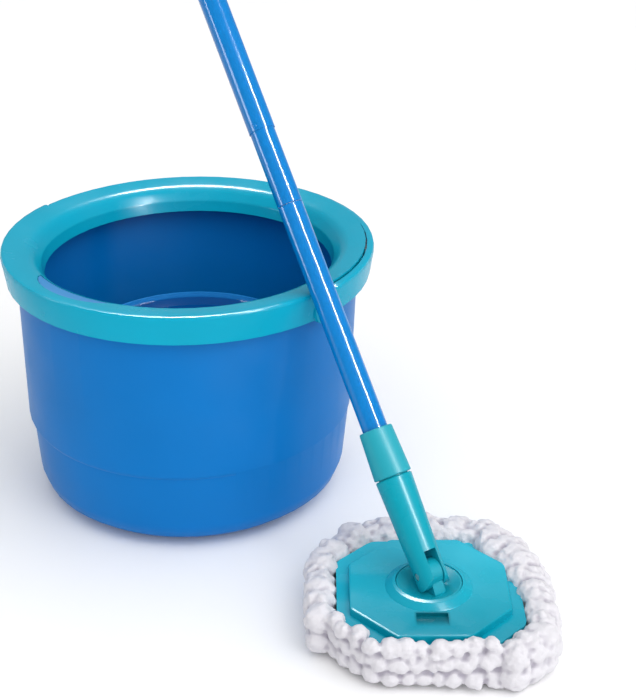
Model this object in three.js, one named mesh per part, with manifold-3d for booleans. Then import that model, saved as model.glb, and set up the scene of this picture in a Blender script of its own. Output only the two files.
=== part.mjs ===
// Spin mop set: a round bucket with a splash ring and a carry handle, and a push-down spin mop that
// stands in front of the bucket with its pole leaning over the ring.
// Millimetres, +Z up. The origin is the middle of the bucket's underside, on the floor.

import * as THREE from 'three';
import { mergeVertices } from 'three/addons/utils/BufferGeometryUtils.js';
import Module from 'manifold-3d';

const wasm = await Module();
wasm.setup();

// ---------------------------------------------------------------- driving dimensions
const GAP = 0.3;                      // clearance between pieces that touch
const FINE = 56;                      // segments round the bucket and its ring
const ROUND = 28;                     // segments round a pole or a collar
const SMALL = 16;                     // segments round a pin

const bucket = {
  height: 233, wall: 2.6, baseRadius: 114, heelRadius: 30, shoulderRadius: 146,
  stepHeight: 77, stepDepth: 1.6, topRadius: 152.6, floor: 5.5,
  footDepth: 2.5, footRadius: 100, footPad: 32, lean: 5,
};
const pedestal = {
  flangeRadius: 66, footRadius: 56, topRadius: 24, height: 122, wall: 2.6, bore: 9.4, topDepth: 14,
};
const dish = {
  radius: 105, rimTop: 140, floorTop: 131, wall: 2.4, beadRadius: 98,
  ribInner: 17, ribOuter: 38, ribHeight: 3, hubRadius: 12, bore: 5.3,
};
const pivot = {
  pinRadius: 4.7, pinBottom: 104, headRadius: 8.6, headBottom: 131.6, headTop: 133.6,
  bushBore: 5.05, bushRadius: 9.05, bushBottom: 108, bushTop: 125.2, bushFlange: 12,
};
const ring = {
  outer: 166, opening: 128.4, top: 241, crest: 138.5, crestTop: 236.8, crestFillet: 14,
  skirtBottom: 213.5, lipBottom: 215.5, wall: 2.4, innerSkirt: 158.4, channelFrom: 158.8,
};
const hinge = {
  azimuth: -35, height: 225, bossRadius: 13, notch: 13.6, pinRadius: 4, pinDepth: 2.2,
  lugRadius: 14, lugOffset: 6.1, lugHeight: 221.5,
};
const slot = {
  from: -149, to: -110, inner: 140, bulge: 165, depth: 0.5, side: 0.5, padFrom: 133, padTo: 160,
};
const bail = { inner: 160.3, outer: 167, top: 238, bottom: 213.5 };

const mop = { x: 205, y: -252.6, pinHeight: 57, lean: 38.5, azimuth: 124.3 };
const pole = { radius: 10.6, wall: 0.8, upperRadius: 11.3, upperWall: 0.4, bottom: 30 };
const joint = { lower: 318, upper: 384, bevel: 0.6 };
const coupler = { radius: 9.5, bore: 6.5, below: 24, above: 28 };
const yoke = {
  earRadius: 12.6, bottomRadius: 13.2, topRadius: 15.3, top: 80.6, slotWidth: 11.2, slotTop: 17,
};
const tilt = { pinRadius: 3, pinHalf: 12 };
const neck = { radius: 12.4, top: 112, bore: 10.95 };
const collar = {
  bottom: 81.4, top: 121.5, bottomRadius: 15.7, topRadius: 13.9, bore: 12.75, mouth: 12.3, grip: 11.6,
};
const drive = {
  rodWidth: 8, rodThick: 2.4, pitch: 80, rodFrom: 290, rodTo: 1000, housing: 440,
  throat: 5.4, sleeve: 9.5, sleeveDepth: 14, nutRadius: 7.2, nutHalf: 3, nutUp: 12,
};
const anchor = { below: 12, above: 8, pocket: 4.7 };
const handle = {
  poleTop: 1205, gripFrom: 1090, gripTo: 1204, gripRadius: 15.5, capTop: 1250,
  eyeOuter: 12.5, eyeInner: 7, eyeThick: 7,
};

const plate = {
  halfWidth: 74, halfDepth: 72, corner: 30, flangeBottom: 34.5, flangeTop: 37.5,
  deckHalfWidth: 64, deckHalfDepth: 66, deckCorner: 35.5, deckTop: 44, deckBevel: 1.6, wall: 2.8,
  socketRadius: 27, rimTop: 48.8, moundRadius: 35, socketFloor: 39.5, bore: 9.4, washerRoom: 20,
};
const ramp = { half: 12.5, back: -36.5, front: -53, depth: 3, wall: 2.6 };
const disc = {
  radius: 26.6, floor: 43.4, rim: 5, rimWidth: 1.6, bowlRadius: 14.6, bossRadius: 9,
  tongueWidth: 10.4, tongueRadius: 11, tongueFoot: 15,
};
const washer = { radius: 17, bore: 9.4 };
const frame = { inset: 6, bore: 30, pegAt: 38, pegRadius: 3.5, pegRise: 4 };
const fringe = { left: 97, right: 103, front: 74, back: 118, height: 36, roll: 13 };
const pad = { inset: 4, bottom: 1.5, top: 31.2 };

// ---------------------------------------------------------------- colours
const plastic = (color, roughness = 0.4) => new THREE.MeshStandardMaterial({ color, roughness });
const blue = plastic(0x0a6cbc, 0.42);
const teal = plastic(0x10a5c0, 0.36);
const paleTeal = plastic(0x3fb3c4, 0.4);
const poleBlue = new THREE.MeshStandardMaterial({ color: 0x0078c0, roughness: 0.25, metalness: 0.3 });
const steel = new THREE.MeshStandardMaterial({ color: 0xb9bdc2, roughness: 0.3, metalness: 1 });
const white = plastic(0xe6e6e2, 0.5);
const microfibre = plastic(0xf2f1f4, 0.95);

// ---------------------------------------------------------------- shape helpers
const rad = THREE.MathUtils.degToRad;

function polar(radius, degrees) {
  return new THREE.Vector2(radius, 0).rotateAround(new THREE.Vector2(), rad(degrees));
}

// Corners given as [x, y] or [x, y, fillet]; a fillet becomes a short arc.
function outline(corners, closed = true, steps = 2) {
  const points = [];
  corners.forEach(([x, y, fillet = 0], i) => {
    const here = new THREE.Vector2(x, y);
    const isEnd = !closed && (i === 0 || i === corners.length - 1);
    if (fillet === 0 || isEnd) {
      points.push(here);
      return;
    }
    const before = new THREE.Vector2(...corners[(i + corners.length - 1) % corners.length]);
    const after = new THREE.Vector2(...corners[(i + 1) % corners.length]);
    const toBefore = before.sub(here).normalize();
    const toAfter = after.sub(here).normalize();
    const half = Math.acos(THREE.MathUtils.clamp(toBefore.dot(toAfter), -1, 1)) / 2;
    const start = here.clone().addScaledVector(toBefore, fillet / Math.tan(half));
    const end = here.clone().addScaledVector(toAfter, fillet / Math.tan(half));
    const centre = here.clone().addScaledVector(toBefore.add(toAfter).normalize(), fillet / Math.sin(half));
    const from = Math.atan2(start.y - centre.y, start.x - centre.x);
    const to = Math.atan2(end.y - centre.y, end.x - centre.x);
    const sweep = Math.atan2(Math.sin(to - from), Math.cos(to - from));
    for (let k = 0; k <= steps; k += 1) {
      const angle = THREE.MathUtils.radToDeg(from + sweep * k / steps);
      points.push(polar(fillet, angle).add(centre));
    }
  });
  return points;
}

// A closed BufferGeometry as a manifold solid, turned so that its faces point out.
function solid(geometry) {
  const bare = new THREE.BufferGeometry();
  bare.setAttribute('position', geometry.getAttribute('position').clone());
  bare.setIndex(geometry.getIndex());
  const merged = mergeVertices(bare, 1e-4);
  const vertices = merged.getAttribute('position');
  const kept = [];
  const corner = [new THREE.Vector3(), new THREE.Vector3(), new THREE.Vector3()];
  let volume = 0;
  for (let i = 0; i < merged.index.count; i += 3) {
    const [a, b, c] = [0, 1, 2].map((k) => merged.index.getX(i + k));
    if (a === b || b === c || c === a) continue;
    kept.push(a, b, c);
    [a, b, c].forEach((v, k) => corner[k].fromBufferAttribute(vertices, v));
    volume += corner[0].dot(corner[1].clone().cross(corner[2]));
  }
  if (volume < 0) kept.reverse();
  return new wasm.Manifold(new wasm.Mesh({
    numProp: 3,
    vertProperties: new Float32Array(vertices.array),
    triVerts: new Uint32Array(kept),
  }));
}

function geometryOf(manifold) {
  const mesh = manifold.getMesh();
  const geometry = new THREE.BufferGeometry();
  geometry.setAttribute('position', new THREE.BufferAttribute(mesh.vertProperties, 3));
  geometry.setIndex(new THREE.BufferAttribute(mesh.triVerts, 1));
  const flat = geometry.toNonIndexed();
  flat.computeVertexNormals();
  return flat;
}

// A turned solid about Z. An open profile starts and ends on the axis, a closed one goes round a section.
function turned(corners, segments, closed = true) {
  const profile = outline(corners, closed);
  if (closed) profile.push(profile[0].clone());
  return solid(new THREE.LatheGeometry(profile, segments).rotateX(Math.PI / 2));
}

// A straight wall of the given outline from one height to another.
function prism(points, from, to) {
  const shape = new THREE.Shape(points);
  const geometry = new THREE.ExtrudeGeometry(shape, { depth: to - from, bevelEnabled: false });
  return solid(geometry.translate(0, 0, from));
}

function cylinder(radius, from, to, segments = ROUND) {
  return solid(new THREE.CylinderGeometry(radius, radius, to - from, segments)
    .rotateX(Math.PI / 2).translate(0, 0, (from + to) / 2));
}

// A round bar along Y, centred on the given x and z.
function crossBar(radius, halfLength, x = 0, z = 0, segments = SMALL) {
  return solid(new THREE.CylinderGeometry(radius, radius, 2 * halfLength, segments).translate(x, 0, z));
}

function box(sizeX, sizeY, sizeZ, x, y, z) {
  return solid(new THREE.BoxGeometry(sizeX, sizeY, sizeZ).translate(x, y, z));
}

function tube(outerRadius, innerRadius, from, to, segments = ROUND, bevel = 0) {
  return turned([
    [innerRadius, from], [outerRadius - bevel, from], [outerRadius, from + bevel],
    [outerRadius, to - bevel], [outerRadius - bevel, to], [innerRadius, to],
  ], segments);
}

// The pie slice between two directions, used to keep or remove part of a ring.
function sector(fromDegrees, toDegrees, reach, from, to) {
  const points = [new THREE.Vector2(0, 0)];
  const steps = Math.ceil((toDegrees - fromDegrees) / 30);
  for (let k = 0; k <= steps; k += 1) {
    points.push(polar(reach, fromDegrees + (toDegrees - fromDegrees) * k / steps));
  }
  return prism(points, from, to);
}

function addMesh(group, name, manifold, material) {
  const mesh = new THREE.Mesh(geometryOf(manifold), material);
  mesh.name = name;
  group.add(mesh);
}

// ---------------------------------------------------------------- bucket
// The upper wall is a little proud of the lower wall at the front left, because the lower wall's
// circle is smaller and its centre lies towards the back right. The whole shell leans a little, so
// that its base lies towards the spout's side.
function bucketShell() {
  const b = bucket;
  const offset = b.stepDepth / Math.SQRT2;
  const lowerRadius = b.shoulderRadius + 2;
  const lower = turned([
    [0, 0], [b.baseRadius, 0], [b.shoulderRadius - 4, 12, b.heelRadius * 0.8],
    [lowerRadius, b.stepHeight + 10], [0, b.stepHeight + 10],
  ], FINE, false).translate([offset, offset, 0]);
  const upperStart = b.shoulderRadius + b.stepDepth * 2.2;
  const upper = turned([
    [0, b.stepHeight], [upperStart - 3, b.stepHeight], [upperStart, b.stepHeight + 5],
    [b.topRadius, b.height], [0, b.height],
  ], FINE, false);
  const w = b.wall;
  const inside = turned([
    [0, b.floor], [b.baseRadius - w, b.floor], [b.shoulderRadius - 8 - w, 14, b.heelRadius * 0.7],
    [lowerRadius - w - b.stepDepth, b.stepHeight], [b.topRadius - w, b.height + 1], [0, b.height + 1],
  ], FINE, false);
  const foot = tube(b.footRadius, b.footPad, -1, b.footDepth);
  const lean = new THREE.Matrix4().makeShear(0, 0, 0, 0, b.lean / b.height, 0)
    .premultiply(new THREE.Matrix4().makeTranslation(-b.lean, 0, 0));
  return lower.add(upper).subtract(inside).subtract(foot).transform(lean.elements);
}

// The hollow cone that stands on the bucket's floor and carries the spin dish.
function spinPedestal() {
  const p = pedestal;
  const foot = bucket.floor + GAP;
  return turned([
    [p.footRadius - p.wall, foot], [p.flangeRadius, foot], [p.flangeRadius, foot + p.wall],
    [p.footRadius + 1, foot + p.wall], [p.topRadius, p.height, 3], [p.bore, p.height],
    [p.bore, p.height - p.topDepth], [p.topRadius - p.wall - 1, p.height - p.topDepth],
  ], ROUND);
}

// The crescent outline of the window in the ring, or of the spout pad that fills it with a margin.
function crescent(margin, from, to) {
  const inner = slot.inner + margin;
  const [a, b] = [slot.from + margin, slot.to - margin];
  const start = polar(inner, a);
  const nearEnd = polar(slot.bulge - 3 * margin, b - 8);
  const nearStart = polar(slot.bulge - 3 * margin, a + 8);
  const shape = new THREE.Shape();
  shape.absarc(0, 0, inner, rad(a), rad(b), false);
  shape.bezierCurveTo(nearEnd.x, nearEnd.y, nearStart.x, nearStart.y, start.x, start.y);
  return prism(shape.getPoints(12).slice(0, -1), from, to);
}

// The crescent pad on the bucket's rim that shows through the ring's window and keeps the ring from
// turning. Its top follows the ring's slope, a little lower.
function spoutPad() {
  const foot = bucket.height - 4;
  const slope = (ring.top - ring.crestTop) / (ring.outer - ring.crest);
  const crestTop = ring.crestTop - slot.depth;
  const edgeTop = crestTop + slope * (slot.padTo - ring.crest);
  return crescent(slot.side, foot, ring.top).intersect(turned([
    [slot.padFrom, foot], [slot.padTo, foot], [slot.padTo, edgeTop],
    [ring.crest, crestTop, ring.crestFillet],
  ], FINE));
}

function spinDish() {
  const d = dish;
  const r = d.radius;
  const under = d.floorTop - d.wall;
  const hubBottom = under - 3;
  const ribTop = d.floorTop + d.ribHeight;
  return turned([
    [d.hubRadius, under], [r - 9, under], [r, d.rimTop - 4], [r, d.rimTop - 0.8],
    [r - 0.8, d.rimTop], [r - 2.6, d.rimTop], [r - 3.4, d.rimTop - 3], [d.beadRadius + 2, d.rimTop - 3.4],
    [d.beadRadius, d.rimTop - 4.2], [d.beadRadius - 5, d.floorTop], [d.ribOuter, d.floorTop],
    [d.ribOuter - 3, ribTop], [d.ribInner + 3, ribTop], [d.ribInner, d.floorTop], [d.bore, d.floorTop],
    [d.bore, hubBottom], [d.hubRadius, hubBottom],
  ], FINE - 8);
}

const pivotPin = () => turned([
  [0, pivot.pinBottom], [pivot.pinRadius, pivot.pinBottom, 0.6], [pivot.pinRadius, pivot.headBottom],
  [pivot.headRadius, pivot.headBottom], [pivot.headRadius, pivot.headTop, 1], [0, pivot.headTop],
], SMALL, false);

function pivotBush() {
  const flange = pedestal.height + GAP;
  return turned([
    [pivot.bushBore, pivot.bushBottom], [pivot.bushRadius, pivot.bushBottom], [pivot.bushRadius, flange],
    [pivot.bushFlange, flange], [pivot.bushFlange, pivot.bushTop], [pivot.bushBore, pivot.bushTop],
  ], SMALL);
}

// ---------------------------------------------------------------- splash ring and carry handle
function ringSection() {
  const r = ring;
  const w = r.wall;
  return [
    [r.opening + w, r.lipBottom], [r.opening + 1 + w, r.lipBottom + 8], [r.crest + 1.4, r.crestTop - w],
    [r.outer - w - 1, r.top - w, 1.5], [r.outer - w - 4, r.skirtBottom], [r.outer - 4, r.skirtBottom],
    [r.outer, r.top, 3.5], [r.crest, r.crestTop, r.crestFillet], [r.opening + 2, r.lipBottom + 10, 5],
    [r.opening, r.lipBottom],
  ];
}

// The two ends of the hinge line: 1 is the front right one, -1 the back left one.
const ends = [1, -1];
const endAzimuth = (side, offset = 0) => hinge.azimuth + (side > 0 ? 0 : 180) - side * offset;

// A radial bar through the ring at one end of the hinge line, or a little way round from it.
function hingeBar(side, radius, fromRadius, toRadius, segments, offset = 0, height = hinge.height) {
  const bar = new THREE.CylinderGeometry(radius, radius, toRadius - fromRadius, segments)
    .rotateZ(-Math.PI / 2).translate((fromRadius + toRadius) / 2, 0, height)
    .rotateZ(rad(endAzimuth(side, offset)));
  return solid(bar);
}

// The opening that the handle's round end turns in, open at the top so that the handle can stand up.
function hingeNotch(side) {
  const reach = 20;
  const above = new THREE.BoxGeometry(reach, 2 * hinge.notch, 30)
    .translate(ring.channelFrom + reach / 2, 0, hinge.height + 15).rotateZ(rad(endAzimuth(side)));
  return hingeBar(side, hinge.notch, ring.channelFrom, ring.channelFrom + reach, ROUND).add(solid(above));
}

function splashRing() {
  const r = ring;
  const innerWall = tube(r.innerSkirt, r.innerSkirt - r.wall, r.skirtBottom, r.top - 5, FINE);
  const channel = turned([
    [r.channelFrom, 200], [r.outer + 20, 200], [r.outer + 20, r.top + 20], [r.channelFrom, r.top + 20],
  ], FINE).intersect(sector(hinge.azimuth, hinge.azimuth + 180, 300, 190, r.top + 10));
  const lugs = ends.map((side) => hingeBar(
    side, hinge.lugRadius, r.innerSkirt - 1, r.outer - 1.5, ROUND, hinge.lugOffset, hinge.lugHeight,
  ).intersect(cylinder(r.outer + 20, 190, r.top - 6, SMALL)));
  let body = turned(ringSection(), FINE).subtract(channel).add(innerWall)
    .subtract(crescent(0, ring.lipBottom + 12, ring.top + 5));
  ends.forEach((side, i) => {
    body = body.add(lugs[i]).subtract(hingeNotch(side))
      .subtract(hingeBar(side, hinge.pinRadius + GAP, r.innerSkirt - 5, r.outer + 5, SMALL));
  });
  return body;
}

function carryHandle() {
  const b = bail;
  let reach = sector(hinge.azimuth, hinge.azimuth + 180, 300, 190, ring.top + 10);
  ends.forEach((side) => {
    reach = reach.add(hingeBar(side, hinge.bossRadius, b.inner - 5, b.outer + 5, ROUND));
  });
  let handle = turned([
    [b.inner, b.bottom], [b.outer - 4, b.bottom], [b.outer, b.top, 3], [b.inner, b.top],
  ], FINE).intersect(reach);
  ends.forEach((side) => {
    const depth = b.inner + hinge.pinDepth + GAP;
    handle = handle.subtract(hingeBar(side, hinge.pinRadius + GAP, b.inner - 5, depth, SMALL));
  });
  return handle;
}

// A stub pin, hidden behind the handle: it goes through the ring's wall into a blind hole in the handle.
const hingePin = (side) => hingeBar(
  side, hinge.pinRadius, ring.innerSkirt - ring.wall, bail.inner + hinge.pinDepth, SMALL,
);

// ---------------------------------------------------------------- mop: yoke, collar and poles
// These are drawn upright with Z along the pole and the tilt pin along Y through the origin.
function lowerTube() {
  const y = yoke;
  const body = turned([
    [0, -20], [y.bottomRadius, -20], [y.bottomRadius, 8], [y.topRadius, y.top - 1],
    [y.topRadius - 1, y.top], [neck.radius, y.top], [neck.radius, neck.top, 1], [0, neck.top],
  ], ROUND, false);
  const roundEnd = crossBar(y.earRadius, 30, 0, 0, ROUND).add(box(60, 60, 200, 0, 0, 100));
  return body.intersect(roundEnd)
    .subtract(box(60, y.slotWidth, 60, 0, 0, y.slotTop - 30))
    .subtract(cylinder(neck.bore, pole.bottom - 1, neck.top + 1))
    .subtract(crossBar(tilt.pinRadius + GAP, 30));
}

const lockingCollar = () => turned([
  [collar.bore, collar.bottom], [collar.bottomRadius - 0.8, collar.bottom],
  [collar.bottomRadius, collar.bottom + 0.8], [collar.topRadius, collar.top, 1.2],
  [collar.mouth, collar.top], [collar.grip, collar.top - 7], [collar.grip, neck.top + 1.2],
  [collar.bore, neck.top + 1.2],
], ROUND);

const tiltPin = () => crossBar(tilt.pinRadius, tilt.pinHalf);
const poleTube = (from, to) => tube(pole.radius, pole.radius - pole.wall, from, to, ROUND, joint.bevel);
const lowerPole = () => poleTube(pole.bottom, joint.lower - GAP / 2);
const middlePole = () => poleTube(joint.lower + GAP / 2, drive.housing);
const poleCoupler = () => tube(
  coupler.radius, coupler.bore, joint.lower - coupler.below, joint.lower + coupler.above, SMALL, 0.5,
);
const upperPole = () => tube(
  pole.upperRadius, pole.upperRadius - pole.upperWall, joint.upper, handle.poleTop, ROUND, 0.2,
);

// ---------------------------------------------------------------- mop: push-down drive
// The flat bar is twisted evenly along its length, so that pushing it through the nut turns the nut.
function twistRod() {
  const length = drive.rodTo - drive.rodFrom;
  const slices = Math.ceil(length / (drive.pitch / 12));
  const bar = new THREE.BoxGeometry(drive.rodWidth, drive.rodThick, length, 1, 1, slices)
    .translate(0, 0, drive.rodFrom + length / 2);
  const points = bar.getAttribute('position');
  const point = new THREE.Vector3();
  for (let i = 0; i < points.count; i += 1) {
    point.fromBufferAttribute(points, i);
    point.applyAxisAngle(new THREE.Vector3(0, 0, 1), 2 * Math.PI * (point.z - drive.housing) / drive.pitch);
    points.setXYZ(i, point.x, point.y, point.z);
  }
  return solid(bar);
}

const nutMiddle = drive.housing + drive.nutUp;
function driveNut() {
  const turn = 360 * drive.nutUp / drive.pitch;
  const opening = box(drive.rodWidth + 1.2, drive.rodThick + 2.2, 20, 0, 0, nutMiddle).rotate([0, 0, turn]);
  return cylinder(drive.nutRadius, nutMiddle - drive.nutHalf, nutMiddle + drive.nutHalf).subtract(opening);
}

// The nut turns in this housing, which is plugged into the top of the middle pole.
function clutchHousing() {
  const d = drive;
  const shoulder = d.housing + GAP;
  const room = d.nutRadius + GAP;
  const roomFloor = nutMiddle - d.nutHalf - GAP;
  return turned([
    [d.throat, d.housing - d.sleeveDepth], [d.sleeve, d.housing - d.sleeveDepth, 0.5], [d.sleeve, shoulder],
    [pole.radius, shoulder], [pole.radius, nutMiddle + 4], [room, nutMiddle + 4],
    [room, roomFloor], [d.throat, roomFloor],
  ], ROUND);
}
const housingCap = () => tube(pole.radius, drive.throat, nutMiddle + 4 + GAP, nutMiddle + 7.5, ROUND, 0.5);

function rodAnchor() {
  const plug = cylinder(pole.radius, drive.rodTo - anchor.below, drive.rodTo + anchor.above);
  return plug.subtract(cylinder(anchor.pocket, drive.rodTo - anchor.below - 1, drive.rodTo + GAP, SMALL));
}

// ---------------------------------------------------------------- mop: grip and cap
const handGrip = () => turned([
  [pole.upperRadius + GAP, handle.gripFrom], [13.2, handle.gripFrom, 1], [14, handle.gripFrom + 14, 4],
  [13, handle.gripFrom + 40, 20], [handle.gripRadius, handle.gripTo - 12, 8], [14.6, handle.gripTo, 2],
  [pole.upperRadius + GAP, handle.gripTo],
], ROUND);

function endCap() {
  const c = handle;
  const knob = turned([
    [0, c.gripTo - 16], [10.6, c.gripTo - 16], [10.6, c.poleTop + GAP], [14.6, c.poleTop + GAP],
    [14.6, c.poleTop + 5, 2], [11, c.poleTop + 12], [0, c.poleTop + 12],
  ], ROUND, false);
  const eyeHeight = c.capTop - c.eyeOuter;
  const stemFrom = c.poleTop + 4;
  const tab = crossBar(c.eyeOuter, c.eyeThick / 2, 0, eyeHeight, ROUND)
    .add(box(2 * c.eyeOuter - 2, c.eyeThick, eyeHeight - stemFrom, 0, 0, (eyeHeight + stemFrom) / 2));
  return knob.subtract(cylinder(8.5, c.gripTo - 20, c.poleTop + 3)).add(tab)
    .subtract(crossBar(c.eyeInner, 30, 0, eyeHeight, ROUND));
}

// ---------------------------------------------------------------- mop head
// An eight-sided outline, larger by a margin all round.
function octagon(halfWidth, halfDepth, corner, margin = 0, fillet = 8) {
  const w = halfWidth + margin;
  const d = halfDepth + margin;
  const c = corner + margin * 0.586;
  return outline([
    [w - c, -d, fillet], [w, -d + c, fillet], [w, d - c, fillet], [w - c, d, fillet],
    [-w + c, d, fillet], [-w, d - c, fillet], [-w, -d + c, fillet], [-w + c, -d, fillet],
  ], true, 2);
}
const plateOutline = (margin = 0) => octagon(plate.halfWidth, plate.halfDepth, plate.corner, margin, 12);
function deckOutline(margin) {
  return octagon(plate.deckHalfWidth, plate.deckHalfDepth, plate.deckCorner, margin, 4);
}

// The ramp pressed into the deck in front of the socket, deepest beside the mound, and the solid
// block that is left under it.
function rampParts() {
  const top = plate.deckTop;
  const side = outline([
    [ramp.back, top + 2], [ramp.back, top - ramp.depth], [ramp.front, top], [ramp.front, top + 2],
  ]);
  const cut = prism(side, -ramp.half, ramp.half).rotate([90, 0, 90]);
  const length = ramp.back - ramp.front;
  const block = box(
    2 * (ramp.half + ramp.wall), length + 2 * ramp.wall, 2 * ramp.depth,
    0, (ramp.back + ramp.front) / 2, top - 2 * ramp.depth + GAP,
  );
  return { cut, block };
}

function headPlate() {
  const p = plate;
  const mound = turned([
    [0, p.deckTop - 4], [p.moundRadius + 3, p.deckTop - 4], [p.moundRadius, p.deckTop + 0.4, 2],
    [p.socketRadius + 2.6, p.rimTop - 0.6, 1.5], [p.socketRadius, p.rimTop], [0, p.rimTop],
  ], ROUND, false);
  const bevel = p.deckBevel;
  const deck = new THREE.ExtrudeGeometry(new THREE.Shape(deckOutline(-bevel)), {
    depth: p.deckTop - p.flangeTop,
    bevelEnabled: true,
    bevelThickness: bevel,
    bevelSize: bevel,
    bevelSegments: 2,
  }).translate(0, 0, p.flangeTop - bevel);
  const { cut, block } = rampParts();
  const hollow = prism(deckOutline(-p.wall), p.flangeBottom - 1, p.deckTop - p.wall)
    .subtract(cylinder(p.socketRadius + 3, p.flangeBottom - 2, p.deckTop)).subtract(block);
  const socket = cylinder(p.socketRadius, p.socketFloor, p.rimTop + 1)
    .add(cylinder(p.washerRoom, p.flangeBottom - 1, p.socketFloor - p.wall))
    .add(cylinder(p.bore, p.flangeBottom - 1, p.rimTop));
  return prism(plateOutline(), p.flangeBottom, p.flangeTop).add(solid(deck)).add(mound)
    .subtract(hollow).subtract(socket).subtract(cut);
}

// The disc that turns in the plate's socket: a shallow bowl with the tongue that the tilt pin goes
// through.
function swivelDisc() {
  const d = disc;
  const pin = mop.pinHeight;
  const bottom = plate.socketFloor + GAP;
  const rimTop = d.floor + d.rim;
  const bowl = turned([
    [0, bottom], [d.radius, bottom], [d.radius, rimTop, 0.6], [d.radius - d.rimWidth, rimTop, 0.4],
    [d.bowlRadius, d.floor, 6], [0, d.floor],
  ], ROUND, false);
  const boss = cylinder(d.bossRadius, plate.flangeBottom + GAP, d.floor);
  const side = outline([
    [-d.tongueFoot, d.floor - 1], [d.tongueFoot, d.floor - 1], [d.tongueFoot, d.floor + 2],
    [d.tongueRadius - 0.5, pin - 4, 4], [d.tongueRadius - 1, pin + 2],
    [-d.tongueRadius + 1, pin + 2], [-d.tongueRadius + 0.5, pin - 4, 4], [-d.tongueFoot, d.floor + 2],
  ]);
  const half = d.tongueWidth / 2;
  const blade = prism(side, -half, half).rotate([90, 0, 0]);
  const top = crossBar(d.tongueRadius, half, 0, pin, ROUND);
  return bowl.add(boss).add(blade).add(top).subtract(crossBar(tilt.pinRadius + GAP, 30, 0, pin));
}

function discWasher() {
  return tube(washer.radius, washer.bore, plate.flangeBottom + GAP, plate.socketFloor - plate.wall - GAP);
}

function refillFrame() {
  const bottom = pad.top + GAP;
  const sheet = prism(plateOutline(-frame.inset), bottom, plate.flangeBottom - GAP);
  const peg = cylinder(frame.pegRadius, bottom, plate.flangeBottom + frame.pegRise, SMALL);
  const corners = [45, 135, 225, 315].map((degrees) => polar(frame.pegAt * Math.SQRT2, degrees));
  return corners.reduce(
    (whole, corner) => whole.add(peg.translate([corner.x, corner.y, 0])),
    sheet.subtract(cylinder(frame.bore, pad.top, plate.flangeBottom)),
  );
}

const mopPad = () => prism(plateOutline(-pad.inset), pad.bottom, pad.top);

// The soft roll of microfibre all round the plate; it reaches furthest behind it.
function mopFringe() {
  const f = fringe;
  const r = f.roll;
  const points = outline([
    [f.right - r, -f.front + r, 40], [f.right - r, f.back - r - 8, 52],
    [-f.left + r + 24, f.back - r, 60], [-f.left + r, f.back - 60, 40],
    [-f.left + r, -f.front + r + 22, 30], [-f.left + r + 42, -f.front + r, 30],
  ], true, 4);
  const roll = new THREE.ExtrudeGeometry(new THREE.Shape(points), {
    depth: f.height - 2 * r,
    bevelEnabled: true,
    bevelThickness: r,
    bevelSize: r,
    bevelSegments: 3,
  }).translate(0, 0, r);
  return solid(roll).subtract(prism(plateOutline(-pad.inset + GAP), -1, 60))
    .subtract(prism(plateOutline(GAP * 2), plate.flangeBottom - GAP, 60))
    .subtract(prism(plateOutline(-5), pad.top - 1, 60));
}

// ---------------------------------------------------------------- assembly
function bucketSet() {
  const group = new THREE.Group();
  addMesh(group, 'bucket', bucketShell().add(spoutPad()), blue);
  addMesh(group, 'spin_pedestal', spinPedestal(), blue);
  addMesh(group, 'splash_ring', splashRing(), teal);
  addMesh(group, 'carry_handle', carryHandle(), teal);
  addMesh(group, 'hinge_pin_front', hingePin(1), teal);
  addMesh(group, 'hinge_pin_back', hingePin(-1), teal);
  addMesh(group, 'spin_dish', spinDish(), blue);
  addMesh(group, 'pivot_pin', pivotPin(), steel);
  addMesh(group, 'pivot_bush', pivotBush(), white);
  return group;
}

function mopPole() {
  const group = new THREE.Group();
  addMesh(group, 'lower_tube', lowerTube(), teal);
  addMesh(group, 'tilt_pin', tiltPin(), steel);
  addMesh(group, 'locking_collar', lockingCollar(), paleTeal);
  addMesh(group, 'lower_pole', lowerPole(), poleBlue);
  addMesh(group, 'pole_coupler', poleCoupler(), white);
  addMesh(group, 'middle_pole', middlePole(), poleBlue);
  addMesh(group, 'clutch_housing', clutchHousing(), white);
  addMesh(group, 'housing_cap', housingCap(), white);
  addMesh(group, 'drive_nut', driveNut(), steel);
  addMesh(group, 'twist_rod', twistRod(), steel);
  addMesh(group, 'rod_anchor', rodAnchor(), white);
  addMesh(group, 'upper_pole', upperPole(), poleBlue);
  addMesh(group, 'hand_grip', handGrip(), teal);
  addMesh(group, 'end_cap', endCap(), blue);
  group.position.set(mop.x, mop.y, mop.pinHeight);
  group.rotation.set(0, rad(mop.lean), rad(mop.azimuth), 'ZYX');
  return group;
}

function mopHead() {
  const group = new THREE.Group();
  addMesh(group, 'head_plate', headPlate(), teal);
  addMesh(group, 'disc_washer', discWasher(), steel);
  addMesh(group, 'refill_frame', refillFrame(), white);
  addMesh(group, 'mop_pad', mopPad(), microfibre);
  addMesh(group, 'mop_fringe', mopFringe(), microfibre);
  const swivel = new THREE.Group();
  addMesh(swivel, 'swivel_disc', swivelDisc(), teal);
  swivel.rotation.z = rad(mop.azimuth);
  group.add(swivel);
  group.position.set(mop.x, mop.y, 0);
  return group;
}

const spinMopSet = new THREE.Group();
spinMopSet.add(bucketSet(), mopPole(), mopHead());
export default spinMopSet;
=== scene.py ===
"""Looks of the spin mop set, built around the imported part. Metres, +Z up, in the part's own frame."""

import math
import random

import bmesh
import bpy
import numpy as np
from mathutils import Matrix, Vector

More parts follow.
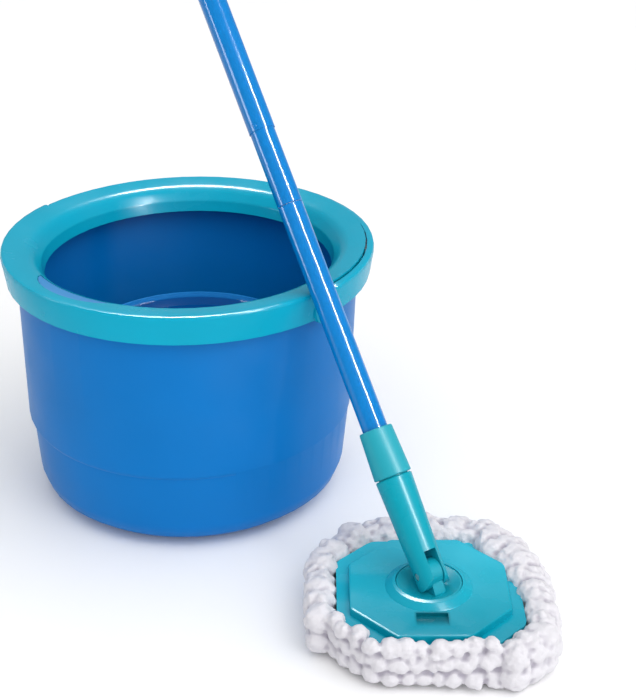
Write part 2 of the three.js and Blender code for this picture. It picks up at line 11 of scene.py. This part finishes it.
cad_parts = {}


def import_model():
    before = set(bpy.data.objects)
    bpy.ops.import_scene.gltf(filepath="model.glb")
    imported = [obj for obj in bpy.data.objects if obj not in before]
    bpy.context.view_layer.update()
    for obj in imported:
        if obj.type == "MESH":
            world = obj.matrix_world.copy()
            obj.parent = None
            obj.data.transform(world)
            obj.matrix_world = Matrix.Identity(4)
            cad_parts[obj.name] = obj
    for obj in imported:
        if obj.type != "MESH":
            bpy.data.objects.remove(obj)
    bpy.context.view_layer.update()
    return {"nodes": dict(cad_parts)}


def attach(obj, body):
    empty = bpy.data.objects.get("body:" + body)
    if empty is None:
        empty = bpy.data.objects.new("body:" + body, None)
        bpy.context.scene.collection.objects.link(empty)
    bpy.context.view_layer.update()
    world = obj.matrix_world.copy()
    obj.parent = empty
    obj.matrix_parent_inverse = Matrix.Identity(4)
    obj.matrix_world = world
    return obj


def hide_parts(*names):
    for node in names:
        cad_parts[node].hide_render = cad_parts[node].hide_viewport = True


# ------------------------------------------------------------------ the part's own sizes
HEAD = Vector((0.205, -0.2526, 0.0))      # middle of the mop head, on the floor
PIN = Vector((0.205, -0.2526, 0.057))     # tilt pin, where the pole's axis starts
LEAN, TURN = math.radians(38.5), math.radians(124.3)
POLE = Vector((math.sin(LEAN) * math.cos(TURN), math.sin(LEAN) * math.sin(TURN), math.cos(LEAN)))
PLATE_HALF = (0.074, 0.072)               # half width and half depth of the head plate
PLATE_DIAGONAL = 0.116                    # |x| + |y| on the plate's cut corners
BEAD_FROM = 0.1362                        # the bead and the rim of the spin dish are higher, and get a painted highlight
PAD_FROM = 0.2335                         # the bucket's rim; only the spout pad is higher, and it gets a painted highlight
POLE_RADIUS, UPPER_RADIUS = 0.0106, 0.0113

# ------------------------------------------------------------------ shading, and where painted highlights and painted shade go
SHADE_CREASE = 38                         # degrees; edges sharper than this stay sharp
WELD = 0.00001                            # points closer than this are joined
HIGHLIGHT_BLEND = 0.0012                       # height over which a painted highlight on a top comes in
PLATE_SHADE_FADE = (0.045, -0.055)              # where the painted shade on the plate's front starts and is full, in Y
RAMP_HALF, RAMP_BLEND = 0.013, 0.0015     # half width of the painted shade in the deck's ramp, and its soft edge
RAMP_FRONT = (-0.054, -0.044)             # where the ramp's painted shade comes in from the front, in Y
RAMP_BACK = (-0.0340, -0.0365)            # and from the back
RAMP_SHADE = 0.45                         # how dark the ramp's painted shade is, as a share of the front's colour

# ------------------------------------------------------------------ the stage
EYE = Vector((0.1162, -1.24107, 0.752535))
LOOKS_DOWN = 26.696                       # degrees below level
FLOOR_HALF = 60.0                         # the floor reaches this far each way
FLOOR_GAP = 0.0006                        # and lies this far below the part, so that no faces fight

# ------------------------------------------------------------------ the microfibre's sizes
# The mop's outer edge on the floor, round from the right, as seen from above.
RIM = [
    (0.103, 0.000), (0.104, 0.055), (0.079, 0.099), (0.031, 0.122), (-0.014, 0.121), (-0.058, 0.111),
    (-0.091, 0.056), (-0.097, 0.014), (-0.093, -0.026), (-0.064, -0.060), (-0.013, -0.080),
    (0.043, -0.082), (0.078, -0.076), (0.098, -0.056),
]
FRONT_WIDTH = 0.017                       # where the fringe is narrower than this it is short balls
BALL_STEP, ROLL_STEP = 0.0142, 0.0160     # from one ball or roll to the next, round the outer edge
LAST_GAP = 0.06                           # angle left free before the round closes

ROLL_RADIUS = (0.0092, 0.0122)
ROLL_HEIGHT = (0.031, 0.037)              # of a roll's upper end
ROLL_SWAY = (0.0010, 0.0030)              # how far a roll wanders sideways
ROLL_KNEE = 0.55                          # where a roll bends down, as a share of its way out
LUMP_STEP = 0.0095                        # between the lumps along a roll
FILL_HEIGHT, FILL_RADIUS = 0.014, 0.0125  # the soft filling under a roll
CURLS, CURL_RADIUS = 5, (0.0026, 0.0042)  # the small curls on each lump of a roll

BALL_ROWS = ((0.0005, 0.0385), (0.0065, 0.0255), (0.0045, 0.0120))   # how far out, and how high
BALL_RADIUS = (0.0066, 0.0092)
BALL_BEHIND = 0.007                       # how far the balls' faces stay behind the outer edge
BALL_CURLS, BALL_CURL_RADIUS = 2, (0.0026, 0.0044)
BACKING_HEIGHT, BACKING_RADIUS = 0.0285, 0.0100   # the filling between the balls and the plate

FLOP, FLOP_TOWARDS, FLOP_WIDTH = 0.017, math.radians(32), 0.42   # see overlap
PAD_STEP, PAD_ROWS, PAD_MARGIN = 0.0135, 5, 0.013
PAD_HEIGHTS, PAD_RADIUS = (0.0095, 0.021), (0.0088, 0.0094)
FRINGE_TOP, PAD_TOP = 0.050, 0.0312       # nothing of them is higher
LYING = 0.0004                            # nor lower than this

WOOL_SIZE, WOOL_HEIGHT = 0.0065, 0.0034   # the woolly unevenness of the surface
# the painted shade in the pile's creases:
CREASE_DEPTH, CREASE_ROUNDS = 0.0004, 6   # what counts as deep, and how often it is averaged
CREASE_FLAT, CREASE_GAIN = 0.35, 1.4      # a flat place's value, and what the depth adds to it

# ------------------------------------------------------------------ the pressed marks on the pole
CRIMP_RINGS, CRIMP_SIDES = 6, 20
CRIMP_RADIUS = 0.0019
CRIMP_SUNK = 0.0001                       # its edge lies this far below the pole's surface
CRIMP_SIDE = math.radians(-14)            # round from the pole's near side

# ------------------------------------------------------------------ colours, linear
BODY_BLUE = (0.000, 0.170, 0.520)
RING_TEAL = (0.002, 0.370, 0.540)
COLLAR_TEAL = (0.020, 0.350, 0.440)
HEAD_TEAL = (0.004, 0.330, 0.430)
# the plate's teal as lit at the back, and a darker copy as painted shade at the front
PLATE_BACK_LIT = (0.020, 0.460, 0.600)
PLATE_FRONT_SHADE = (0.000, 0.290, 0.400)
LACQUER_BLUE = (0.000, 0.200, 0.570)
# a painted highlight on the bucket's spout pad
SPOUT_HIGHLIGHT_BLUE = (0.040, 0.260, 0.600)
# painted shade down inside the spin dish, and a painted highlight on its bead and rim
DISH_SHADE_BLUE = (0.000, 0.070, 0.270)
BEAD_HIGHLIGHT_BLUE = (0.020, 0.240, 0.620)
NATURAL_WHITE = (0.780, 0.770, 0.740)
STEEL_GREY = (0.560, 0.570, 0.580)
PILE_WHITE = (0.700, 0.685, 0.725)
PILE_SHADOW = (0.400, 0.375, 0.440)


# ------------------------------------------------------------------ materials
MIX_UNDER, MIX_OVER, MIX_RESULT = 6, 7, 2   # a Mix node's colour sockets; others share their names


class Graph:
    """A material's node tree, with short calls to add and join nodes."""

    def __init__(self, name):
        self.material = bpy.data.materials.new(name)
        self.material.use_nodes = True
        self.tree = self.material.node_tree
        self.shader = self.tree.nodes["Principled BSDF"]
        self.place = self.add("ShaderNodeTexCoord").outputs["Object"]
        self.base = None

    def add(self, kind, **settings):
        node = self.tree.nodes.new(kind)
        for key, value in settings.items():
            setattr(node, key, value)
        return node

    def join(self, output, target):
        self.tree.links.new(output, target)

    def noise(self, scale, detail=3.0, stretch=None):
        node = self.add("ShaderNodeTexNoise")
        node.inputs["Scale"].default_value = scale
        node.inputs["Detail"].default_value = detail
        vector = self.place
        if stretch is not None:
            mapping = self.add("ShaderNodeMapping")
            mapping.inputs["Rotation"].default_value = stretch[0]
            mapping.inputs["Scale"].default_value = stretch[1]
            self.join(vector, mapping.inputs["Vector"])
            vector = mapping.outputs["Vector"]
        self.join(vector, node.inputs["Vector"])
        return node.outputs["Fac"]

    def spread(self, value, low, high):
        """The middle of a noise's range, spread from low to high."""
        node = self.add("ShaderNodeMapRange")
        node.inputs["From Min"].default_value = 0.3
        node.inputs["From Max"].default_value = 0.7
        node.inputs["To Min"].default_value = low
        node.inputs["To Max"].default_value = high
        self.join(value, node.inputs["Value"])
        return node.outputs["Result"]

    def colours(self, value, first, second, start=0.3, end=0.7):
        """The base colour, from the first to the second as the value goes from start to end."""
        node = self.add("ShaderNodeValToRGB")
        node.color_ramp.elements[0].position = start
        node.color_ramp.elements[0].color = (*first, 1)
        node.color_ramp.elements[1].position = end
        node.color_ramp.elements[1].color = (*second, 1)
        self.join(value, node.inputs["Fac"])
        self.paint(node.outputs["Color"])

    def paint(self, colour):
        """Makes an output the base colour, and keeps it for a later mix."""
        self.join(colour, self.shader.inputs["Base Color"])
        self.base = colour

    def axes(self):
        """The place's X, Y and Z."""
        node = self.add("ShaderNodeSeparateXYZ")
        self.join(self.place, node.inputs["Vector"])
        return node.outputs

    def rise(self, value, start, end):
        """From 0 to 1 as the value goes from start to end."""
        node = self.add("ShaderNodeMapRange")
        node.inputs["From Min"].default_value = start
        node.inputs["From Max"].default_value = end
        self.join(value, node.inputs["Value"])
        return node.outputs["Result"]

    def product(self, *factors):
        total = factors[0]
        for factor in factors[1:]:
            node = self.add("ShaderNodeMath", operation="MULTIPLY")
            self.join(total, node.inputs[0])
            self.join(factor, node.inputs[1])
            total = node.outputs["Value"]
        return total

    def mix(self, amount, colour):
        """Lays a colour over the base colour by an amount."""
        node = self.add("ShaderNodeMix", data_type="RGBA")
        self.join(amount, node.inputs["Factor"])
        self.join(self.base, node.inputs[MIX_UNDER])
        node.inputs[MIX_OVER].default_value = (*colour, 1)
        self.paint(node.outputs[MIX_RESULT])

    def bump(self, height, strength, distance, under=None):
        node = self.add("ShaderNodeBump")
        node.inputs["Strength"].default_value = strength
        node.inputs["Distance"].default_value = distance
        self.join(height, node.inputs["Height"])
        if under is not None:
            self.join(under, node.inputs["Normal"])
        self.join(node.outputs["Normal"], self.shader.inputs["Normal"])
        return node.outputs["Normal"]

    def fix(self, **values):
        """Values that are the same all over, set on the shader's own sockets."""
        for key, value in values.items():
            self.shader.inputs[key.replace("_", " ")].default_value = value


def shades(colour, darker, lighter):
    return tuple(c * darker for c in colour), tuple(min(1, c * lighter) for c in colour)


def plastic(name, colour, roughness):
    """Moulded plastic: faint flow clouds in the colour, uneven gloss and a fine spark-eroded grain."""
    g = Graph(name)
    g.colours(g.noise(9, 2), *shades(colour, 0.95, 1.04))
    g.join(g.spread(g.noise(26, 4), roughness - 0.04, roughness + 0.05), g.shader.inputs["Roughness"])
    swell = g.bump(g.noise(22, 1), 0.05, 0.002)
    g.bump(g.noise(2600, 2), 0.05, 0.0002, swell)
    g.fix(Specular_IOR_Level=0.10)
    return g


def moulded(name, colour, roughness):
    return plastic(name, colour, roughness).material


def highlit_top_plastic(name, colour, highlight_colour, height, roughness):
    """Moulded plastic with a painted highlight: paler above a height."""
    g = plastic(name, colour, roughness)
    g.mix(g.rise(g.axes()["Z"], height, height + HIGHLIGHT_BLEND), highlight_colour)
    return g.material


def head_plastic(name, back, front):
    """The mop head's plastic with painted shade: paler at the back of the plate, darker at the front, and
    darkest in the ramp in the deck.
    """
    g = plastic(name, back, 0.28)
    axes = g.axes()
    x, y = HEAD.x, HEAD.y
    # painted shade towards the plate's front
    g.mix(g.rise(axes["Y"], *(y + step for step in PLATE_SHADE_FADE)), front)
    outside, inside = RAMP_HALF + RAMP_BLEND, RAMP_HALF - RAMP_BLEND
    # painted shade in the ramp in the deck
    ramp_shade_mask = g.product(
        g.rise(axes["X"], x - outside, x - inside),
        g.rise(axes["X"], x + outside, x + inside),
        g.rise(axes["Y"], *(y + step for step in RAMP_FRONT)),
        g.rise(axes["Y"], *(y + step for step in RAMP_BACK)),
    )
    g.mix(ramp_shade_mask, tuple(RAMP_SHADE * c for c in front))
    return g.material


def lacquered(name, colour):
    """Lacquered steel tube: a clear glossy coat over a colour with faint drawing lines along the tube."""
    g = Graph(name)
    along = ((0, -LEAN, -TURN), (1, 1, 0.02))
    g.colours(g.noise(420, 3, along), *shades(colour, 0.93, 1.05))
    g.join(g.spread(g.noise(60, 3), 0.16, 0.22), g.shader.inputs["Roughness"])
    g.bump(g.noise(520, 2, along), 0.03, 0.0002)
    g.fix(Specular_IOR_Level=0.1, Coat_Weight=0.4, Coat_Roughness=0.03)
    return g.material


def brushed(name, colour):
    """Bare steel with short turning marks and uneven brightness."""
    g = Graph(name)
    g.colours(g.noise(300, 4, ((0, 0, 0), (1, 1, 6))), *shades(colour, 0.8, 1.15))
    g.join(g.spread(g.noise(140, 4), 0.24, 0.42), g.shader.inputs["Roughness"])
    g.bump(g.noise(900, 3, ((0, 0, 0), (1, 1, 8))), 0.1, 0.0002)
    g.fix(Metallic=1.0)
    return g.material


def microfibre(name, colour, shadow):
    """Soft white pile, with painted shade greying it down in its creases; curled tufts, fine fibre ends and
    a faint sheen.
    """
    g = Graph(name)
    crease = g.add("ShaderNodeAttribute", attribute_name="crease").outputs["Fac"]
    # random tone, plus painted shade where the crease value is high
    uneven = g.add("ShaderNodeMath", operation="MULTIPLY_ADD")
    g.join(g.noise(110, 5), uneven.inputs[0])
    uneven.inputs[1].default_value = 0.35
    g.join(crease, uneven.inputs[2])
    g.colours(uneven.outputs["Value"], colour, shadow, 0.45, 1.0)
    g.join(g.spread(g.noise(300, 3), 0.86, 0.98), g.shader.inputs["Roughness"])
    tufts = g.bump(g.noise(330, 5), 0.5, 0.0016)
    g.bump(g.noise(1500, 3), 0.4, 0.0005, tufts)
    g.fix(Specular_IOR_Level=0.1, Sheen_Weight=0.12, Sheen_Roughness=0.5)
    return g.material


def paper_floor(name):
    """Matt white paper."""
    g = Graph(name)
    g.colours(g.noise(3, 2), (0.93, 0.93, 0.935), (0.95, 0.95, 0.952))
    g.join(g.spread(g.noise(5, 2), 0.85, 0.92), g.shader.inputs["Roughness"])
    g.fix(Specular_IOR_Level=0.1)
    return g.material


# ------------------------------------------------------------------ finer shading of the part's own pieces
def soft_shading():
    """Geometry nodes that join a piece's faces and shade them smooth, up to the crease angle."""
    tree = bpy.data.node_groups.new("soft_shading", "GeometryNodeTree")
    tree.interface.new_socket("Geometry", in_out="INPUT", socket_type="NodeSocketGeometry")
    tree.interface.new_socket("Geometry", in_out="OUTPUT", socket_type="NodeSocketGeometry")
    nodes, links = tree.nodes, tree.links
    source = nodes.new("NodeGroupInput")
    bare = nodes.new("GeometryNodeRemoveAttribute")
    bare.inputs["Name"].default_value = "custom_normal"
    weld = nodes.new("GeometryNodeMergeByDistance")
    weld.inputs["Distance"].default_value = WELD
    smooth = nodes.new("GeometryNodeSetShadeSmooth")
    angle = nodes.new("GeometryNodeInputMeshEdgeAngle")
    compare = nodes.new("FunctionNodeCompare")
    compare.operation = "GREATER_THAN"
    compare.inputs["B"].default_value = math.radians(SHADE_CREASE)
    sharp = nodes.new("GeometryNodeSetShadeSmooth")
    sharp.domain = "EDGE"
    sharp.inputs["Shade Smooth"].default_value = False
    result = nodes.new("NodeGroupOutput")
    links.new(source.outputs[0], bare.inputs["Geometry"])
    links.new(bare.outputs["Geometry"], weld.inputs["Geometry"])
    links.new(weld.outputs["Geometry"], smooth.inputs["Geometry"])
    links.new(smooth.outputs["Geometry"], sharp.inputs["Geometry"])
    links.new(angle.outputs["Unsigned Angle"], compare.inputs["A"])
    links.new(compare.outputs["Result"], sharp.inputs["Selection"])
    links.new(sharp.outputs["Geometry"], result.inputs[0])
    return tree


def finish_node(node, material, shading):
    node.data.materials.clear()
    node.data.materials.append(material)
    node.modifiers.new("soft_shading", "NODES").node_group = shading
    weighted = node.modifiers.new("weighted", "WEIGHTED_NORMAL")
    weighted.keep_sharp = True


# ------------------------------------------------------------------ the microfibre
def rim_radius(angle):
    """How far the mop's outer edge is from the head's middle in a direction."""
    polar = sorted((math.atan2(y, x), math.hypot(x, y)) for x, y in RIM)
    angles = np.array([p[0] for p in polar])
    radii = np.array([p[1] for p in polar])
    wrapped = (angle + math.pi) % (2 * math.pi) - math.pi
    return float(np.interp(wrapped, angles, radii, period=2 * math.pi))


def plate_radius(angle):
    """How far the head plate's edge is from its middle in a direction."""
    c, s = abs(math.cos(angle)), abs(math.sin(angle))
    return min(PLATE_HALF[0] / max(c, 1e-6), PLATE_HALF[1] / max(s, 1e-6), PLATE_DIAGONAL / (c + s))


def bead(mesh, centre, radius, stretch=1.0, angle=0.0):
    """One tuft: a round lump, longer along the strand that it sits on."""
    turned = Matrix.Translation(centre) @ Matrix.Rotation(angle, 4, "Z")
    shape = turned @ Matrix.Diagonal((stretch, 1, 1, 1))
    bmesh.ops.create_icosphere(mesh, subdivisions=2, radius=radius, matrix=shape)


def scatter(rng, amount):
    """A small random step in every direction."""
    return Vector((rng.uniform(-1, 1), rng.uniform(-1, 1), rng.uniform(-1, 1))) * amount


def overlap(angle):
    """How far the tufts flop in over the plate's edge; most at the back right."""
    away = (angle - FLOP_TOWARDS + math.pi) % (2 * math.pi) - math.pi
    return FLOP * math.exp(-(away / FLOP_WIDTH) ** 2)


def roll_tufts(mesh, rng, angle, inner, outer):
    """A fat wavy roll that arches from beside the plate down to the floor, with a curly surface."""
    outward = Vector((math.cos(angle), math.sin(angle), 0))
    across = Vector((-outward.y, outward.x, 0))
    thick = rng.uniform(*ROLL_RADIUS)
    start = inner + thick + 0.001 - overlap(angle)
    high = rng.uniform(*ROLL_HEIGHT) + 0.35 * overlap(angle)
    phase = rng.uniform(0, 6.3)
    sway = rng.uniform(*ROLL_SWAY)
    top = HEAD + outward * start + Vector((0, 0, high))
    knee = (1 - ROLL_KNEE) * start + ROLL_KNEE * outer
    bend = HEAD + outward * knee + Vector((0, 0, high + 0.004))
    foot = HEAD + outward * (outer - thick - 0.003) + Vector((0, 0, thick - 0.001))
    count = 4 + round((outer - start) / LUMP_STEP)
    for k in range(count):
        t = k / (count - 1)
        on = top * (1 - t) ** 2 + bend * 2 * t * (1 - t) + foot * t ** 2
        on += across * sway * math.sin(phase + 5 * t) + scatter(rng, 0.0008)
        lump = thick * (0.97 + 0.07 * math.sin(phase + 9 * t))
        bead(mesh, on, lump, 1.15, angle)
        bead(mesh, Vector((on.x, on.y, min(on.z, FILL_HEIGHT))), FILL_RADIUS)
        for _ in range(CURLS):
            lift = Vector((rng.uniform(-1, 1), rng.uniform(-1, 1), rng.uniform(0.0, 1))).normalized()
            bead(mesh, on + lift * lump * 0.86, rng.uniform(*CURL_RADIUS))


def ball_tufts(mesh, rng, angle, inner, outer, shift):
    """The short tufts at the front: round balls in staggered rows, with a soft filling behind them."""
    for k, (reach, height) in enumerate(BALL_ROWS):
        turn = angle + shift * (k % 2)
        outward = Vector((math.cos(turn), math.sin(turn), 0))
        size = rng.uniform(*BALL_RADIUS)
        edge = outer - BALL_BEHIND - size + reach * 0.6
        if k == 0:
            edge = max(edge, inner + 0.001)
        on = HEAD + outward * edge + Vector((0, 0, height)) + scatter(rng, 0.0024)
        on.z = max(on.z, size * 0.9)
        bead(mesh, on, size)
        for _ in range(BALL_CURLS):
            lift = Vector((rng.uniform(-1, 1), rng.uniform(-1, 0), rng.uniform(-0.6, 1))).normalized()
            bead(mesh, on + lift * size * 0.85, rng.uniform(*BALL_CURL_RADIUS))
        backing = outward * (inner - 0.002) + Vector((0, 0, min(height, BACKING_HEIGHT)))
        bead(mesh, HEAD + backing, BACKING_RADIUS)


def fringe_tufts(rng):
    """Tufts all round the plate: rolls at the back and sides, balls along the narrow front."""
    mesh = bmesh.new()
    angle = 0.0
    while angle < 2 * math.pi - LAST_GAP:
        inner, outer = plate_radius(angle), rim_radius(angle)
        if outer - inner < FRONT_WIDTH:
            step = BALL_STEP / outer * rng.uniform(0.90, 1.10)
            ball_tufts(mesh, rng, angle, inner, outer, step / 2)
        else:
            step = ROLL_STEP / outer * rng.uniform(0.85, 1.20)
            roll_tufts(mesh, rng, angle, inner, outer)
        angle += step
    return mesh


def pad_tufts(rng):
    """The tufts under the plate, in two layers of staggered rows."""
    mesh = bmesh.new()
    for row in range(-PAD_ROWS, PAD_ROWS + 1):
        for column in range(-PAD_ROWS, PAD_ROWS + 1):
            x = (column + 0.5 * (row % 2)) * PAD_STEP
            y = row * PAD_STEP * 0.87
            if math.hypot(x, y) > plate_radius(math.atan2(y, x)) - PAD_MARGIN:
                continue
            for height in PAD_HEIGHTS:
                aside = (x + rng.uniform(-1, 1) * 0.001, y + rng.uniform(-1, 1) * 0.001, height)
                bead(mesh, HEAD + Vector(aside), rng.uniform(*PAD_RADIUS))
    return mesh


def shade_creases(data):
    """Stores how deep in a crease each point lies, from 0 on a bump to 1 in a crease; the microfibre paints
    shade from it.
    """
    count = len(data.vertices)
    place = np.empty(count * 3)
    data.vertices.foreach_get("co", place)
    place = place.reshape(-1, 3)
    normal = np.empty(count * 3, np.float32)
    data.vertices.foreach_get("normal", normal)
    normal = normal.reshape(-1, 3)
    pairs = np.empty(len(data.edges) * 2, np.int32)
    data.edges.foreach_get("vertices", pairs)
    a, b = pairs.reshape(-1, 2).T
    neighbours = np.bincount(a, minlength=count) + np.bincount(b, minlength=count)

    def averaged(values):
        total = np.bincount(a, values[b], count) + np.bincount(b, values[a], count)
        return total / np.maximum(neighbours, 1)

    around = np.stack([averaged(place[:, k]) for k in range(3)], 1)
    depth = ((around - place) * normal).sum(1) / CREASE_DEPTH
    for _ in range(CREASE_ROUNDS):
        depth = 0.5 * depth + 0.5 * averaged(depth)
    layer = data.attributes.new("crease", "FLOAT", "POINT")
    crease = np.clip(CREASE_FLAT + CREASE_GAIN * depth, 0, 1)
    layer.data.foreach_set("value", crease.astype(np.float32))


def pile(name, mesh, material, voxel, ceiling):
    """Tufts grown into one soft mass that lies flat on the floor, with a woolly surface."""
    data = bpy.data.meshes.new(name)
    mesh.to_mesh(data)
    mesh.free()
    piece = bpy.data.objects.new(name, data)
    bpy.context.scene.collection.objects.link(piece)
    remesh = piece.modifiers.new("grow", "REMESH")
    remesh.mode = "VOXEL"
    remesh.voxel_size = voxel
    woolly = bpy.data.textures.new(f"{name}_wool", "CLOUDS")
    woolly.noise_scale = WOOL_SIZE
    woolly.noise_depth = 2
    displace = piece.modifiers.new("wool", "DISPLACE")
    displace.texture = woolly
    displace.texture_coords = "LOCAL"
    displace.strength = WOOL_HEIGHT
    displace.mid_level = 0.5
    graph = bpy.context.evaluated_depsgraph_get()
    grown = bpy.data.meshes.new_from_object(piece.evaluated_get(graph))
    piece.modifiers.clear()
    piece.data = grown
    for vertex in grown.vertices:
        vertex.co.z = min(max(vertex.co.z, LYING), ceiling)
    shade_creases(grown)
    for face in grown.polygons:
        face.use_smooth = True
    grown.materials.clear()
    grown.materials.append(material)
    return piece


# ------------------------------------------------------------------ small details on the pole
def frame_on_pole(distance, side, radius):
    """A frame on the pole's surface: its Z points out, at an angle round from the pole's near side."""
    across = POLE.cross(Vector((0, -1, 0))).normalized()
    near = across.cross(POLE).normalized()
    out = Matrix.Rotation(side, 3, POLE) @ near
    matrix = Matrix((POLE.cross(out), POLE, out)).transposed().to_4x4()
    matrix.translation = PIN + POLE * distance + out * radius
    return matrix


def crimp(name, distance, radius, rise, material, body):
    """The pressed mark that fixes a pole section to its plug: a shallow dome with a rolled rim."""
    mesh = bmesh.new()
    rows = []
    for k in range(CRIMP_RINGS + 1):
        reach = k / CRIMP_RINGS
        height = rise * (math.cos(reach * math.pi / 2) ** 0.5 + 0.27 * math.sin(reach * math.pi))
        turns = [2 * math.pi * j / CRIMP_SIDES for j in range(CRIMP_SIDES if k else 1)]
        rows.append([
            mesh.verts.new((
                CRIMP_RADIUS * reach * math.cos(turn),
                CRIMP_RADIUS * reach * math.sin(turn),
                height - CRIMP_SUNK,
            ))
            for turn in turns
        ])
    for j in range(CRIMP_SIDES):
        after = (j + 1) % CRIMP_SIDES
        mesh.faces.new((rows[0][0], rows[1][j], rows[1][after]))
        for k in range(1, CRIMP_RINGS):
            mesh.faces.new((rows[k][j], rows[k + 1][j], rows[k + 1][after], rows[k][after]))
    mesh.faces.new(list(reversed(rows[CRIMP_RINGS])))
    data = bpy.data.meshes.new(name)
    mesh.to_mesh(data)
    mesh.free()
    data.transform(frame_on_pole(distance, CRIMP_SIDE, radius))
    for face in data.polygons:
        face.use_smooth = True
    data.materials.append(material)
    piece = bpy.data.objects.new(name, data)
    bpy.context.scene.collection.objects.link(piece)
    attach(piece, body)


# ------------------------------------------------------------------ floor, light and camera
def floor(material):
    data = bpy.data.meshes.new("floor")
    half = FLOOR_HALF
    corners = [(-half, -half, 0), (half, -half, 0), (half, half, 0), (-half, half, 0)]
    data.from_pydata(corners, [], [(0, 1, 2, 3)])
    data.materials.append(material)
    piece = bpy.data.objects.new("floor", data)
    piece.location.z = -FLOOR_GAP
    bpy.context.scene.collection.objects.link(piece)


def softbox(name, place, aim, size, power, along=Vector((0, 0, 1)), gloss_only=False):
    """A rectangular softbox that faces its aim, its second size lying nearest to a direction."""
    data = bpy.data.lights.new(name, "AREA")
    data.shape = "RECTANGLE"
    data.size, data.size_y = size
    data.energy = power
    light = bpy.data.objects.new(name, data)
    back = (place - aim).normalized()
    right = along.cross(back).normalized()
    matrix = Matrix((right, back.cross(right), back)).transposed().to_4x4()
    matrix.translation = place
    light.matrix_world = matrix
    light.visible_diffuse = not gloss_only
    bpy.context.scene.collection.objects.link(light)


def daylight(strength):
    world = bpy.data.worlds.new("studio")
    world.use_nodes = True
    world.node_tree.nodes["Background"].inputs["Color"].default_value = (1.0, 1.0, 1.0, 1)
    world.node_tree.nodes["Background"].inputs["Strength"].default_value = strength
    bpy.context.scene.world = world


def camera():
    data = bpy.data.cameras.new("camera")
    data.sensor_width = 36
    data.lens = 77.25
    data.clip_start, data.clip_end = 0.05, 60
    piece = bpy.data.objects.new("camera", data)
    piece.location = EYE
    piece.rotation_euler = (math.radians(90 - LOOKS_DOWN), 0, 0)
    bpy.context.scene.collection.objects.link(piece)
    bpy.context.scene.camera = piece


def overcast(direction, strength, spread):
    """A wide soft light from far away, the same all over the floor; it lights without being mirrored."""
    data = bpy.data.lights.new("overcast", "SUN")
    data.energy = strength
    data.angle = math.radians(spread)
    light = bpy.data.objects.new("overcast", data)
    light.rotation_euler = Vector(direction).to_track_quat("Z", "Y").to_euler()
    light.visible_glossy = False
    bpy.context.scene.collection.objects.link(light)


def lights():
    """Three boxes that show only as reflections, a weak key, and two even lights over everything."""
    middle = Vector((0.06, -0.08, 0.2))
    on_pole = PIN + POLE * 0.45
    to_eye = (EYE - on_pole).normalized()
    aside = Matrix.Rotation(math.radians(40), 3, POLE) @ to_eye
    softbox("pole_strip", on_pole + aside * 1.9, on_pole, size=(0.11, 2.6), power=300,
            along=POLE, gloss_only=True)
    crest = Vector((-0.03, 0.138, 0.237))
    above_crest = crest + Vector((-0.1, 0.80, 1.85))
    softbox("crest_strip", above_crest, crest, size=(0.9, 0.07), power=240,
            along=Vector((0, 1, 0)), gloss_only=True)
    softbox("side_panel", Vector((-2.0, -0.5, 0.4)), middle, size=(0.5, 0.9), power=16, gloss_only=True)
    softbox("key", Vector((1.2, -1.5, 2.3)), middle, size=(1.2, 1.2), power=8)
    overcast((0.35, -0.50, 1.0), strength=2.35, spread=100)
    daylight(strength=0.42)


# ------------------------------------------------------------------ the scene
def main():
    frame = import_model()
    nodes = frame["nodes"]
    bpy.context.scene.view_settings.view_transform = "Standard"

    shading = soft_shading()
    blue = moulded("moulded_blue", BODY_BLUE, 0.36)
    # the spin dish: a darker blue as painted shade inside, with a painted highlight on its bead and rim
    shaded_dish = highlit_top_plastic("moulded_dish_shade_bead_highlight", DISH_SHADE_BLUE, BEAD_HIGHLIGHT_BLUE, BEAD_FROM, 0.25)
    # the bucket, with a painted highlight on its spout pad
    spout_highlight_bucket = highlit_top_plastic("moulded_bucket_spout_highlight", BODY_BLUE, SPOUT_HIGHLIGHT_BLUE, PAD_FROM, 0.38)
    teal = moulded("moulded_teal", RING_TEAL, 0.24)
    head_teal = moulded("moulded_head_teal", HEAD_TEAL, 0.28)
    # the head plate, with painted shade at its front and in the ramp
    shaded_plate = head_plastic("moulded_plate_painted_shade", PLATE_BACK_LIT, PLATE_FRONT_SHADE)
    collar_teal = moulded("moulded_collar_teal", COLLAR_TEAL, 0.42)
    white = moulded("moulded_white", NATURAL_WHITE, 0.5)
    lacquer = lacquered("lacquered_blue", LACQUER_BLUE)
    steel = brushed("bare_steel", STEEL_GREY)
    wool = microfibre("microfibre_white", PILE_WHITE, PILE_SHADOW)
    dressed = {
        spout_highlight_bucket: ["bucket"],
        shaded_dish: ["spin_dish"],
        blue: ["spin_pedestal", "end_cap"],
        teal: ["splash_ring", "carry_handle", "hinge_pin_front", "hinge_pin_back", "hand_grip"],
        shaded_plate: ["head_plate"],
        head_teal: ["swivel_disc", "lower_tube"],
        collar_teal: ["locking_collar"],
        white: ["pivot_bush", "pole_coupler", "clutch_housing", "housing_cap",
                "rod_anchor", "refill_frame"],
        lacquer: ["lower_pole", "middle_pole", "upper_pole"],
        steel: ["pivot_pin", "tilt_pin", "drive_nut", "twist_rod", "disc_washer"],
    }
    for material, names in dressed.items():
        for name in names:
            finish_node(nodes[name], material, shading)

    rng = random.Random(11)
    voxel = 0.0016
    fringe = pile("microfibre_fringe", fringe_tufts(rng), wool, voxel, FRINGE_TOP)
    pad = pile("microfibre_pad", pad_tufts(rng), wool, voxel, PAD_TOP)
    for piece, node in ((fringe, "mop_fringe"), (pad, "mop_pad")):
        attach(piece, "mop_head")
        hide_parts(node)

    crimp("crimp_lower", 0.3215, POLE_RADIUS, 0.00016, lacquer, "mop_shaft")
    crimp("crimp_upper", 0.3880, UPPER_RADIUS, 0.00045, lacquer, "mop_handle")

    floor(paper_floor("paper_floor"))
    camera()
    lights()


main()
